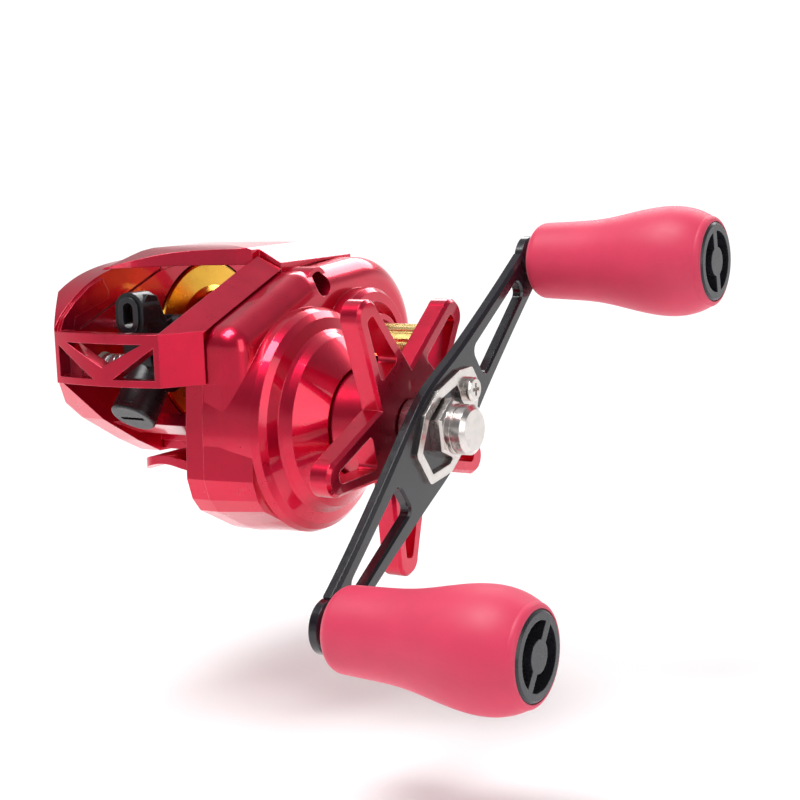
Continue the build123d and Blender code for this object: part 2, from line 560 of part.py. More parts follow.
with BuildPart() as palm_side_cover:
    with BuildSketch(side_plane(PALM_X)) as palm_base:
        palm_outline()
        fillet(palm_base.vertices().filter_by_position(Axis.Y, -50, -12), radius=2.5)
    extrude(palm_base.sketch, amount=PALM_FACE - PALM_X)
    fillet(palm_side_cover.faces().sort_by(Axis.X)[0].edges(), radius=2.2)
    turned(SPOOL, [(PALM_X, 0), (PALM_X, PALM_LOBE), (PALM_END + 2.6, PALM_LOBE),
                   (PALM_END + 1.0, PALM_LOBE - 1.0), (PALM_END, PALM_LOBE - 3.4), (PALM_END, 0)])
    palm_nose_cut()
    # Recess for the brake dial outside, and the brake's space inside.
    tube(SPOOL, PALM_END, PALM_END + 1.2, DIAL_RADIUS + 0.3, mode=Mode.SUBTRACT)
    tube(SPOOL, PALM_X, PALM_X - 2.6, 15.6, mode=Mode.SUBTRACT)
    tube(SPOOL, -19.2, PALM_BEARING_X[1], 4.6)
    tube(SPOOL, PALM_BEARING_X[0], PALM_BEARING_X[1], 3.4, mode=Mode.SUBTRACT)
    tube(SPOOL, -19.3, PALM_BEARING_X[0], 1.9, mode=Mode.SUBTRACT)
    for screw in PALM_SCREWS:
        tube(screw, PALM_X, PALM_END, 1.1, mode=Mode.SUBTRACT)
        tube(screw, PALM_X - 1.1, PALM_END - 1, 2.1, mode=Mode.SUBTRACT)

with BuildPart() as palm_screws:
    screw_set(PALM_SCREWS, 1.9, 1.0, PALM_X - 2.6, -13.8)

# ---- brake: dial, magnet carrier, magnets and rotor ----------------------------------
MAGNETS = 8
MAGNET_CIRCLE = 8.4

with BuildPart() as brake_dial:
    turned(SPOOL, [(PALM_END + 1.1, 0), (PALM_END + 1.1, DIAL_RADIUS), (PALM_END - 0.9, DIAL_RADIUS),
                   (PALM_END - 1.5, DIAL_RADIUS - 0.7), (PALM_END - 1.5, DIAL_RADIUS - 2.0),
                   (PALM_END - 1.1, DIAL_RADIUS - 2.5), (PALM_END - 1.1, 0)])
    with BuildSketch(side_plane(PALM_END - 2, SPOOL)) as grip_notches:
        with PolarLocations(DIAL_RADIUS + 0.15, 30):
            Circle(0.45)
    extrude(grip_notches.sketch, amount=3.2, mode=Mode.SUBTRACT)
    with BuildSketch(side_plane(PALM_END - 1.1, SPOOL)) as finger_bar:
        Rectangle(13.0, 2.6)
        fillet(finger_bar.vertices(), radius=1.2)
    extrude(finger_bar.sketch, amount=-0.9)

with BuildPart() as magnet_carrier:
    tube(SPOOL, CARRIER_X[0], CARRIER_X[1], 12.0, 4.9)

with BuildPart() as brake_magnets:
    with BuildSketch(side_plane(CARRIER_X[1], SPOOL)) as magnet_faces:
        with PolarLocations(MAGNET_CIRCLE, MAGNETS):
            Circle(1.5)
    extrude(magnet_faces.sketch, amount=0.9)

with BuildPart() as brake_rotor:
    tube(SPOOL, -14.7, -13.9, 10.8, 5.8)
    tube(SPOOL, -13.9, -13.2, 6.8, 5.8)

# ---- bearings, bushes and fixed posts ------------------------------------------------
with BuildPart() as spool_bearings:
    for x_from, x_to in (PALM_BEARING_X, SHAFT_END_BEARING_X):
        bearing(SPOOL, x_from, x_to, 3.4, SPOOL_SHAFT_RADIUS + 0.05)

with BuildPart() as pinion_bearing:
    bearing(SPOOL, PINION_BEARING_X[0], PINION_BEARING_X[1], 4.5, 2.25)

with BuildPart() as shaft_bearing:
    bearing(DRIVE, FRAME_HALF + 0.8, SEAM_X, SHAFT_BEARING_RADIUS, 2.05)

with BuildPart() as one_way_clutch:
    tube(DRIVE, CLUTCH_BEARING_X[0], CLUTCH_BEARING_X[1], CLUTCH_BEARING_RADIUS, 6.7)
    with BuildSketch(side_plane(CLUTCH_BEARING_X[0] + 0.6, DRIVE)) as rollers:
        with PolarLocations(5.9, 8):
            Circle(0.78)
    extrude(rollers.sketch, amount=CLUTCH_BEARING_X[1] - CLUTCH_BEARING_X[0] - 1.2)

with BuildPart() as worm_bushes:
    for x_from in (PALM_X + 0.6, FRAME_HALF):
        tube(WORM, x_from, x_from + PLATE - 0.6, WORM_BUSH_RADIUS, 1.55)

with BuildPart() as guide_rod:
    tube(GUIDE_ROD, PALM_X + 0.5, SEAM_X - 0.5, GUIDE_ROD_RADIUS)

with BuildPart() as idler_post:
    turned(IDLER, [(FRAME_HALF + 1.2, 0), (FRAME_HALF + 1.2, 1.0), (18.3, 1.0), (18.3, 1.8), (18.9, 1.8),
                   (18.9, 0)])

with BuildPart() as yoke_posts:
    for post in POST_AXES:
        turned(post, [(FRAME_HALF + 1.2, 0), (FRAME_HALF + 1.2, 1.0), (22.3, 1.0), (22.3, 2.0),
                      (22.9, 2.0), (22.9, 0)])

# ---- drive shaft and the stack that turns with the handle ----------------------------
THREAD_RADIUS = 2.5
THREAD_END = 59.2
ARM_X = 52.8                    # inner face of the flat handle arm
ARM_THICK = 2.1
ARM_FACE = ARM_X + ARM_THICK
NUT_END = 61.4

with BuildPart() as drive_shaft:
    turned(DRIVE, [(13.4, 0), (13.4, 2.0), (16.7, 2.0), (16.7, SHAFT_RADIUS),
                   (ARM_FACE, SHAFT_RADIUS), (ARM_FACE, THREAD_RADIUS), (THREAD_END, THREAD_RADIUS),
                   (THREAD_END, 0)])

with BuildPart() as main_gear:
    gear(DRIVE, MAIN_X, MAIN_TEETH, MAIN_MODULE, MAIN_PHASE, SHAFT_RADIUS)
    tube(DRIVE, MAIN_X[0] + 1.2, MAIN_X[1], 15.5, mode=Mode.SUBTRACT)
    with BuildSketch(side_plane(MAIN_X[0], DRIVE)) as lightening_holes:
        with PolarLocations(10.2, 6):
            Circle(2.2)
    extrude(lightening_holes.sketch, amount=1.2, mode=Mode.SUBTRACT)

with BuildPart() as level_wind_drive_gear:
    gear(DRIVE, LEVEL_X, LEVEL_TEETH, LEVEL_MODULE, LEVEL_PHASE, SHAFT_RADIUS)

DRAG_PITCH = 1.1                # one fibre washer and one steel plate
FIBRE = 0.5
with BuildPart() as drag_washers:
    for layer in range(3):
        x_from = MAIN_X[0] + 1.2 + layer * DRAG_PITCH
        tube(DRIVE, x_from, x_from + FIBRE, 15.0, 4.6)

with BuildPart() as drag_plates:
    for layer in range(2):
        x_from = MAIN_X[0] + 1.2 + FIBRE + layer * DRAG_PITCH
        tube(DRIVE, x_from, x_from + DRAG_PITCH - FIBRE, 14.8, SHAFT_RADIUS)

with BuildPart() as pressure_plate:
    turned(DRIVE, [(23.1, SHAFT_RADIUS), (23.1, 13.4), (24.0, 13.4), (24.4, 8.0), (24.4, SHAFT_RADIUS)])

with BuildPart() as one_way_sleeve:
    tube(DRIVE, 24.4, 33.2, 5.0, SHAFT_RADIUS)

with BuildPart() as drag_springs:
    for x_from in (33.3, 34.3):
        turned(DRIVE, [(x_from, SHAFT_RADIUS + 0.1), (x_from + 0.4, SHAFT_RADIUS + 0.1),
                       (x_from + 0.8, 5.8), (x_from + 0.4, 5.8)])

with BuildPart() as handle_spacer:
    turned(DRIVE, [(48.3, SHAFT_RADIUS), (48.3, 5.2), (52.2, 5.2), (ARM_X, 4.6), (ARM_X, SHAFT_RADIUS)])

# ---- star drag ----------------------------------------------------------------------
STAR_ARMS = 5
STAR_COLLAR = (34.8, 10.0)      # inner end and radius
STAR_ARM_TIP = 3.4
STAR_NOTCH = 11.0               # where the edges of two arms would meet, before rounding
STAR_HOLLOW = 8.0               # radius of the hollow between two arms

with BuildPart() as star_drag:
    arm_root = polar((0, 0), STAR_NOTCH, 180 / STAR_ARMS)
    arm_end = STAR_RADIUS - STAR_ARM_TIP
    with BuildSketch(side_plane(STAR_X[0], DRIVE, STAR_ANGLE)) as star_plan:
        for arm in range(STAR_ARMS):
            heading = 360 / STAR_ARMS * arm
            with BuildLine(Plane.XY.rotated((0, 0, heading))) as arm_line:
                Polyline((-1, 0), (arm_root[0], -arm_root[1]), (arm_end, -STAR_ARM_TIP),
                         (arm_end, STAR_ARM_TIP), arm_root, close=True)
            make_face(arm_line.edges())
        notches = star_plan.vertices().filter_by(
            lambda corner: abs(hypot(corner.Y - DRIVE[0], corner.Z - DRIVE[1]) - STAR_NOTCH) < 0.01
        )
        fillet(notches, radius=STAR_HOLLOW)
        with PolarLocations(arm_end, STAR_ARMS):
            Circle(STAR_ARM_TIP)
    with BuildSketch(side_plane(STAR_X[0], DRIVE, STAR_ANGLE)) as star_slots:
        for arm in range(STAR_ARMS):
            heading = 360 / STAR_ARMS * arm
            with BuildLine(Plane.XY.rotated((0, 0, heading))) as slot_line:
                Polyline((12.8, -3.3), (arm_end, -1.1), (arm_end, 1.1), (12.8, 3.3), close=True)
            make_face(slot_line.edges())
        fillet(star_slots.vertices(), radius=0.9)
    extrude(star_plan.sketch, amount=STAR_X[1] - STAR_X[0])
    chamfer(star_drag.faces().sort_by(Axis.X)[-1].edges(), length=0.6)
    extrude(star_slots.sketch, amount=STAR_X[1] - STAR_X[0], mode=Mode.SUBTRACT)
    tube(DRIVE, STAR_COLLAR[0], STAR_X[0], STAR_COLLAR[1])
    tube(DRIVE, STAR_COLLAR[0], 42.0, 7.4, mode=Mode.SUBTRACT)
    tube(DRIVE, 42.0, STAR_X[1], SHAFT_RADIUS + 0.3, mode=Mode.SUBTRACT)

with BuildPart() as star_nut:
    with BuildSketch(side_plane(36.0, DRIVE)) as nut_plan:
        RegularPolygon(5.6, 6, major_radius=False)
        Circle(SHAFT_RADIUS + RUNNING, mode=Mode.SUBTRACT)
    extrude(nut_plan.sketch, amount=4.0)

# ---- handle arm, its nut and the knob spindles ---------------------------------------
KNOB_AXES = [polar(DRIVE, HANDLE_RADIUS, HANDLE_ANGLE), polar(DRIVE, -HANDLE_RADIUS, HANDLE_ANGLE)]
EYE_RADIUS = 4.8
SPINDLE_RADIUS = 2.0
SPINDLE_END = 87.0
KNOB_X = (55.9, 93.0)
NUT_FLATS = 10.0
RETAINER_SCREW = (10.2, 0.0)    # along and across the arm, from the drive axis


def arm_side(side):
    """One long edge of the arm, from the lower eye to the upper one, bellied at the nut."""
    return Spline(
        (-43.5, 4.2 * side), (-33.0, 5.0 * side), (-21.0, 6.4 * side), (-10.0, 7.9 * side), (0, 8.8 * side),
        (10.0, 7.4 * side), (21.0, 6.0 * side), (33.0, 4.9 * side), (43.5, 4.2 * side),
    )


with BuildPart() as handle_arm:
    with BuildSketch(side_plane(ARM_X, DRIVE, HANDLE_ANGLE)) as arm_plan:
        with BuildLine() as arm_outline:
            upper_side = arm_side(1)
            lower_side = arm_side(-1)
            Line(upper_side @ 0, lower_side @ 0)
            Line(upper_side @ 1, lower_side @ 1)
        make_face()
        with Locations((HANDLE_RADIUS, 0), (-HANDLE_RADIUS, 0)):
            Circle(EYE_RADIUS)
    extrude(arm_plan.sketch, amount=ARM_THICK)
    chamfer(handle_arm.faces().sort_by(Axis.X)[-1].edges(), length=0.6)
    # Each leg has a tapering slot, wide near the middle.
    with BuildSketch(side_plane(ARM_X, DRIVE, HANDLE_ANGLE)) as arm_slots:
        for end in (1, -1):
            with BuildLine():
                Polyline((17.2 * end, 3.4), (38.6 * end, 1.7), (38.6 * end, -1.7), (17.2 * end, -3.4),
                         close=True)
            make_face()
        fillet(arm_slots.vertices(), radius=1.5)
    extrude(arm_slots.sketch, amount=ARM_THICK, mode=Mode.SUBTRACT)
    slot_rims = handle_arm.faces().sort_by(Axis.X)[-1].inner_wires()
    chamfer([rim_edge for rim in slot_rims for rim_edge in rim.edges()], length=0.4)
    with BuildSketch(side_plane(ARM_X, DRIVE, HANDLE_ANGLE)) as arm_bores:
        Circle(SHAFT_RADIUS)
        with Locations(RETAINER_SCREW):
            Circle(1.15)
        with Locations((HANDLE_RADIUS, 0), (-HANDLE_RADIUS, 0)):
            Circle(SPINDLE_RADIUS)
    extrude(arm_bores.sketch, amount=ARM_THICK, mode=Mode.SUBTRACT)

with BuildPart() as knob_spindles:
    for knob in KNOB_AXES:
        turned(knob, [(ARM_X - 0.6, 0), (ARM_X - 0.6, 3.2), (ARM_X, 3.4), (ARM_X, SPINDLE_RADIUS),
                      (ARM_FACE, SPINDLE_RADIUS), (ARM_FACE, 3.4), (ARM_FACE + 0.9, 3.4),
                      (ARM_FACE + 0.9, SPINDLE_RADIUS), (SPINDLE_END, SPINDLE_RADIUS), (SPINDLE_END, 0)])

KNOB_BEARING_RADIUS = 3.5
with BuildPart() as knob_bearings:
    for knob in KNOB_AXES:
        for x_from in (57.6, 82.4):
            bearing(knob, x_from, x_from + 2.6, KNOB_BEARING_RADIUS, SPINDLE_RADIUS)

with BuildPart() as knob_retaining_screws:
    for knob in KNOB_AXES:
        turned(knob, [(SPINDLE_END, 0), (SPINDLE_END, 3.0), (SPINDLE_END + 0.6, 3.0),
                      (SPINDLE_END + 1.0, 2.4), (SPINDLE_END + 1.0, 0)])


def knob_grip(knob):
    """Soft grip: rounded at the arm, a slight waist, then a full belly at the far end."""
    with BuildSketch(turning_plane(knob)) as section:
        with BuildLine() as outline:
            Line((KNOB_X[0], 3.7), (KNOB_X[0], 5.4))
            ThreePointArc((KNOB_X[0], 5.4), (56.5, 6.7), (57.9, 7.4))
            Spline((57.9, 7.4), (63.0, 7.6), (70.0, 8.1), (80.0, 10.0), (86.0, 10.3), (91.6, 8.5))
            ThreePointArc((91.6, 8.5), (92.5, 8.0), (92.7, 7.45))
            Polyline((92.7, 7.45), (88.6, 7.45), (88.6, 3.7), (KNOB_X[0], 3.7))
        make_face(outline.edges())
    revolve(section.sketch, axis=x_axis(knob))


def knob_end_cap(knob, turn):
    """End cap with two sunk windows either side of a bar, and a domed middle."""
    turned(knob, [(88.7, 0), (88.7, 7.35), (92.6, 7.35), (KNOB_X[1], 6.9), (KNOB_X[1], 0)])
    with BuildSketch(side_plane(KNOB_X[1] - 2.6, knob, turn)) as windows:
        Circle(5.7)
        Circle(2.7, mode=Mode.SUBTRACT)
        Rectangle(1.6, 12, mode=Mode.SUBTRACT)
    extrude(windows.sketch, amount=4, mode=Mode.SUBTRACT)


with BuildPart() as upper_knob:
    knob_grip(KNOB_AXES[0])

with BuildPart() as lower_knob:
    knob_grip(KNOB_AXES[1])

with BuildPart() as upper_knob_cap:
    knob_end_cap(KNOB_AXES[0], 10)

with BuildPart() as lower_knob_cap:
    knob_end_cap(KNOB_AXES[1], -35)

RETAINER_THICK = 0.8
NUT_HEX = 2.6                   # height of the nut's six flats
with BuildPart() as handle_nut:
    with BuildSketch(side_plane(ARM_FACE, DRIVE, HANDLE_ANGLE)) as nut_hex:
        RegularPolygon(NUT_FLATS / 2, 6, major_radius=False)
    extrude(nut_hex.sketch, amount=NUT_HEX)
    chamfer(handle_nut.faces().sort_by(Axis.X)[-1].edges(), length=0.4)
    turned(DRIVE, [(ARM_FACE + NUT_HEX, 0), (ARM_FACE + NUT_HEX, 4.6), (58.7, 4.6), (58.7, 4.2),
                   (59.0, 4.2), (59.0, 4.6), (60.7, 4.6), (NUT_END, 3.7), (NUT_END, 0)])
    tube(DRIVE, ARM_FACE, THREAD_END, THREAD_RADIUS, mode=Mode.SUBTRACT)

with BuildPart() as nut_retainer:
    with BuildSketch(side_plane(ARM_FACE, DRIVE, HANDLE_ANGLE)) as retainer_plan:
        with BuildLine():
            Polyline((13.8, 2.4), (10.0, 5.0), (2.4, 7.4), (-4.0, 7.3), (-10.6, 3.7), (-10.6, -3.7),
                     (-4.0, -7.3), (2.4, -7.4), (10.0, -5.0), (13.8, -2.4), close=True)
        make_face()
        fillet(retainer_plan.vertices(), radius=1.0)
        with BuildLine():
            Polyline((7.6, 3.6), (1.8, 5.7), (-3.6, 5.7), (-8.9, 2.8), (-8.9, -2.8), (-3.6, -5.7),
                     (1.8, -5.7), (7.6, -3.6), close=True)
        make_face(mode=Mode.SUBTRACT)
        with Locations(RETAINER_SCREW):
            Circle(3.1)
            Circle(1.2, mode=Mode.SUBTRACT)
    extrude(retainer_plan.sketch, amount=RETAINER_THICK)

with BuildPart() as retainer_screw:
    screw_place = polar(DRIVE, RETAINER_SCREW[0], HANDLE_ANGLE)
    screw_set([screw_place], 2.3, 1.1, ARM_FACE + RETAINER_THICK + 1.5, ARM_X + 0.4)

# ---- spool ---------------------------------------------------------------------------
SPOOL_X = (-13.2, 11.9)
with BuildPart() as spool:
    turned(SPOOL, [
        (SPOOL_X[0], SPOOL_RADIUS - 0.3), (SPOOL_X[0] + 0.3, SPOOL_RADIUS), (-12.4, SPOOL_RADIUS),
        (-12.1, SPOOL_RADIUS - 0.4), (-11.4, 12.2), (-10.6, 11.2), (9.3, 11.2), (10.1, 12.2),
        (10.8, SPOOL_RADIUS - 0.4), (11.1, SPOOL_RADIUS), (SPOOL_X[1] - 0.3, SPOOL_RADIUS),
        (SPOOL_X[1], SPOOL_RADIUS - 0.3), (11.6, 16.0), (10.9, 10.4), (1.0, 10.2), (1.0, 3.2), (9.0, 2.8),
        (9.0, SPOOL_SHAFT_RADIUS), (-12.8, SPOOL_SHAFT_RADIUS), (-12.8, 3.4), (-13.2, 3.4),
        (-13.2, 5.8), (-12.0, 5.8), (-12.0, 4.4), (-1.0, 3.6), (-1.0, 10.2), (-12.2, 10.4), (-12.9, 16.0),
    ])
    with BuildSketch(side_plane(-1.0, SPOOL)) as web_holes:
        with PolarLocations(6.8, 6):
            Circle(2.0)
    extrude(web_holes.sketch, amount=2.0, mode=Mode.SUBTRACT)

PIN_X = 15.6
with BuildPart() as spool_shaft:
    turned(SPOOL, [(-18.4, 0), (-18.4, SPOOL_SHAFT_RADIUS - 0.3), (-18.1, SPOOL_SHAFT_RADIUS),
                   (37.3, SPOOL_SHAFT_RADIUS), (37.6, SPOOL_SHAFT_RADIUS - 0.3), (37.6, 0)])
    with BuildSketch(Plane(origin=(PIN_X, *SPOOL), x_dir=(1, 0, 0), z_dir=(0, 0, 1))) as pin_hole:
        Circle(0.6)
    extrude(pin_hole.sketch, amount=3, both=True, mode=Mode.SUBTRACT)

with BuildPart() as spool_pin:
    with BuildSketch(Plane(origin=(PIN_X, *SPOOL), x_dir=(1, 0, 0), z_dir=(0, 0, 1))) as pin_round:
        Circle(0.6)
    extrude(pin_round.sketch, amount=2.8, both=True)

# ---- pinion and clutch ----------------------------------------------------------------
PINION_BORE = SPOOL_SHAFT_RADIUS + RUNNING
GROOVE_X = (17.4, 18.9)
YOKE_X = (17.6, 18.6)
with BuildPart() as pinion_gear:
    tube(SPOOL, 15.0, GROOVE_X[0], 3.0, PINION_BORE)
    tube(SPOOL, GROOVE_X[0], GROOVE_X[1], 2.2, PINION_BORE)
    gear(SPOOL, (GROOVE_X[1], 23.6), PINION_TEETH, MAIN_MODULE, PINION_PHASE, PINION_BORE)
    tube(SPOOL, 23.6, PINION_BEARING_X[1] + 0.2, 2.2, PINION_BORE)
    with BuildSketch(side_plane(15.0, SPOOL)) as pin_slot:
        Rectangle(1.5, 8.0)
    extrude(pin_slot.sketch, amount=1.4, mode=Mode.SUBTRACT)

with BuildPart() as clutch_yoke:
    with BuildSketch(side_plane(YOKE_X[0])) as yoke_plan:
        with BuildLine():
            Polyline((2.0, 27.5), (6.0, 27.5), (8.2, 19.5), (8.0, 11.5), (4.0, 11.5), close=True)
        make_face()
        with Locations(*POST_AXES):
            Circle(2.4)
        with Locations(SPOOL):
            Circle(4.9)
            Circle(2.35, mode=Mode.SUBTRACT)
        with Locations((SPOOL[0] - 4, SPOOL[1])):
            Rectangle(8, 4.7, mode=Mode.SUBTRACT)
        with Locations(DRIVE):
            Circle(MAIN_PITCH + 0.9, mode=Mode.SUBTRACT)
        with Locations(*POST_AXES):
            Circle(1.0 + RUNNING, mode=Mode.SUBTRACT)
    extrude(yoke_plan.sketch, amount=YOKE_X[1] - YOKE_X[0])

with BuildPart() as yoke_springs:
    for post in POST_AXES:
        with BuildLine():
            coil = Helix(pitch=0.6, height=1.3, radius=1.5, center=(YOKE_X[1] + 0.25, post[0], post[1]),
                         direction=(1, 0, 0))
        with BuildSketch(Plane(origin=coil @ 0, z_dir=coil % 0)) as wire:
            Circle(0.2)
        sweep(wire.sketch, path=coil)

THUMB_HALF = 12.2
EAR = ((15.0, 19.4), (21.5, 24.5))
with BuildPart() as thumb_bar:
    slab([(18.2, 21.4), (21.8, 21.2), (24.8, 25.6), (23.8, 27.6), (19.6, 29.4), (18.2, 28.6)],
         -THUMB_HALF, THUMB_HALF)
    slab([(EAR[0][0], EAR[1][0]), (EAR[0][1], EAR[1][0]), (EAR[0][1], EAR[1][1]), (EAR[0][0], EAR[1][1])],
         THUMB_HALF, SEAM_X + 0.1)
    # Cam plate that lifts the yoke as the bar goes down.
    slab([(7.2, 22.0), (17.2, 21.6), (17.2, 24.4), (7.2, 24.0)], SEAM_X + 0.1, 17.4)

# ---- level wind ----------------------------------------------------------------------
with BuildPart() as idler_gear:
    gear(IDLER, LEVEL_X, IDLER_TEETH, LEVEL_MODULE, IDLER_PHASE, 1.0 + RUNNING)

with BuildPart() as worm_gear:
    gear(WORM, LEVEL_X, WORM_TEETH, LEVEL_MODULE, WORM_PHASE, 1.5)

with BuildPart() as worm_shaft:
    turned(WORM, [(PALM_X + 0.6, 0), (PALM_X + 0.6, 1.5), (-11.8, 1.5), (-11.8, WORM_RADIUS),
                  (11.8, WORM_RADIUS), (11.8, 1.5), (18.6, 1.5), (18.6, 0)])

GUIDE_HALF = 4.2                # half length of the line guide along the worm
EYE_CENTRE = (-38.4, 29.6)      # (y, z) of the eye's front
PAWL_DIR = (cos(radians(PAWL_ANGLE)), sin(radians(PAWL_ANGLE)))


def pawl_plane(distance):
    """Plane across the pawl's axis, at a distance from the worm's axis."""
    return Plane(origin=(0, WORM[0] + distance * PAWL_DIR[0], WORM[1] + distance * PAWL_DIR[1]),
                 x_dir=(1, 0, 0), z_dir=(0, PAWL_DIR[0], PAWL_DIR[1]))


def eye_plane(y):
    return Plane(origin=(0, y, EYE_CENTRE[1]), x_dir=(1, 0, 0), z_dir=(0, -1, 0))


with BuildPart() as line_guide:
    tube(WORM, -GUIDE_HALF, GUIDE_HALF, 4.4)
    slab([(-37.0, 18.0), (-38.2, 25.6), (-38.2, 32.4), (-37.2, 33.4), (-34.8, 33.0), (-30.6, 24.6),
          (-29.0, 19.0)], -3.1, 3.1)
    slab([(-34.0, 23.0), (-33.0, 27.6), (-28.8, 28.6), (-28.8, 24.6), (-30.0, 21.0)], -3.1, 3.1)
    tube(GUIDE_ROD, -GUIDE_HALF, GUIDE_HALF, 2.2)
    with BuildSketch(eye_plane(-34.6)) as eye_boss:
        RectangleRounded(6.8, 8.4, 3.2)
    extrude(eye_boss.sketch, amount=4.6)
    with BuildSketch(pawl_plane(0)) as pawl_barrel:
        Circle(4.3)
    extrude(pawl_barrel.sketch, amount=9.6)
    tube(WORM, -GUIDE_HALF - 1, GUIDE_HALF + 1, WORM_RADIUS + 0.15, mode=Mode.SUBTRACT)
    tube(GUIDE_ROD, -GUIDE_HALF, GUIDE_HALF, GUIDE_ROD_RADIUS + 0.12, mode=Mode.SUBTRACT)
    with BuildSketch(eye_plane(-28.0)) as eye_hole:
        RectangleRounded(4.8, 6.8, 2.3)
    extrude(eye_hole.sketch, amount=14, mode=Mode.SUBTRACT)
    with BuildSketch(pawl_plane(2)) as pawl_bore:
        Circle(1.6)
    extrude(pawl_bore.sketch, amount=9, mode=Mode.SUBTRACT)
    with BuildSketch(pawl_plane(8.2)) as cap_bore:
        Circle(3.2)
    extrude(cap_bore.sketch, amount=3, mode=Mode.SUBTRACT)

with BuildPart() as line_guide_eye:
    with BuildSketch(eye_plane(-34.8)) as eye_ring:
        RectangleRounded(4.8, 6.8, 2.3)
        RectangleRounded(2.4, 4.6, 1.15, mode=Mode.SUBTRACT)
    extrude(eye_ring.sketch, amount=4.8)

with BuildPart() as pawl:
    with BuildSketch(pawl_plane(WORM_RADIUS + RUNNING)) as pawl_tip:
        Rectangle(2.4, 0.8)
    extrude(pawl_tip.sketch, amount=0.9)
    with BuildSketch(pawl_plane(WORM_RADIUS + RUNNING + 0.9)) as pawl_pin:
        Circle(1.5)
    extrude(pawl_pin.sketch, amount=4.7)

with BuildPart() as pawl_cap:
    with BuildSketch(pawl_plane(8.25)) as cap_stub:
        Circle(3.15)
    extrude(cap_stub.sketch, amount=1.4)
    with BuildSketch(pawl_plane(9.62)) as cap_head:
        Circle(4.4)
    extrude(cap_head.sketch, amount=1.5)
    fillet(pawl_cap.edges().filter_by(GeomType.CIRCLE).sort_by(Axis.Z)[:1], radius=0.5)
    with BuildSketch(pawl_plane(10.5)) as cap_slot:
        Rectangle(5.4, 0.9)
    extrude(cap_slot.sketch, amount=1.0, mode=Mode.SUBTRACT)

# ---- cast control ---------------------------------------------------------------------
CAP_X = (30.8, 43.0)
with BuildPart() as cast_control_cap:
    turned(SPOOL, [(CAP_X[0], CAP_TUBE[0] + 0.15), (CAP_X[0], 5.2), (40.6, 5.2), (40.6, 5.6),
                   (CAP_X[1] - 0.4, 5.6), (CAP_X[1], 5.2), (CAP_X[1], 0), (40.2, 0),
                   (40.2, CAP_TUBE[0] + 0.15)])
    with BuildSketch(side_plane(CAP_X[0], SPOOL)) as flutes:
        with PolarLocations(5.5, 14):
            Circle(0.62)
    extrude(flutes.sketch, amount=40.5 - CAP_X[0], mode=Mode.SUBTRACT)

with BuildPart() as cast_pad:
    turned(SPOOL, [(38.0, 0), (38.0, 1.8), (38.3, 2.2), (40.1, 2.2), (40.1, 0)])


OUT = "parts"
os.makedirs(OUT, exist_ok=True)
pieces = {
    "frame": frame, "reel_foot": reel_foot, "foot_screws": foot_screws,
    "front_hood": front_hood, "top_bridge": top_bridge, "bridge_pins": bridge_pins,
    "handle_side_cover": handle_side_cover, "cover_screws": cover_screws,
    "palm_side_cover": palm_side_cover, "palm_screws": palm_screws,
    "brake_dial": brake_dial, "magnet_carrier": magnet_carrier, "brake_magnets": brake_magnets,
    "brake_rotor": brake_rotor, "spool_bearings": spool_bearings,
    "pinion_bearing": pinion_bearing, "shaft_bearing": shaft_bearing,
    "one_way_clutch": one_way_clutch, "worm_bushes": worm_bushes, "guide_rod": guide_rod,
    "idler_post": idler_post, "yoke_posts": yoke_posts, "drive_shaft": drive_shaft,
    "main_gear": main_gear, "level_wind_drive_gear": level_wind_drive_gear,
    "drag_washers": drag_washers, "drag_plates": drag_plates, "pressure_plate": pressure_plate,
    "one_way_sleeve": one_way_sleeve, "drag_springs": drag_springs, "handle_spacer": handle_spacer,
    "star_drag": star_drag, "star_nut": star_nut, "handle_arm": handle_arm,
    "knob_spindles": knob_spindles, "knob_bearings": knob_bearings,
    "knob_retaining_screws": knob_retaining_screws, "upper_knob": upper_knob,
    "lower_knob": lower_knob, "upper_knob_cap": upper_knob_cap, "lower_knob_cap": lower_knob_cap,
    "handle_nut": handle_nut, "nut_retainer": nut_retainer, "retainer_screw": retainer_screw,
    "spool": spool, "spool_shaft": spool_shaft, "spool_pin": spool_pin,
    "pinion_gear": pinion_gear, "clutch_yoke": clutch_yoke, "yoke_springs": yoke_springs,
    "thumb_bar": thumb_bar, "idler_gear": idler_gear, "worm_gear": worm_gear,
    "worm_shaft": worm_shaft, "line_guide": line_guide, "line_guide_eye": line_guide_eye,
    "pawl": pawl, "pawl_cap": pawl_cap, "cast_control_cap": cast_control_cap, "cast_pad": cast_pad,
}
for name, piece in pieces.items():
    piece.part.label = name
    export_step(piece.part, f"{OUT}/{name}.step")
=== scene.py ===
import json
from math import cos, radians, sin, tau

import bmesh
import bpy
from mathutils import Matrix, Vector


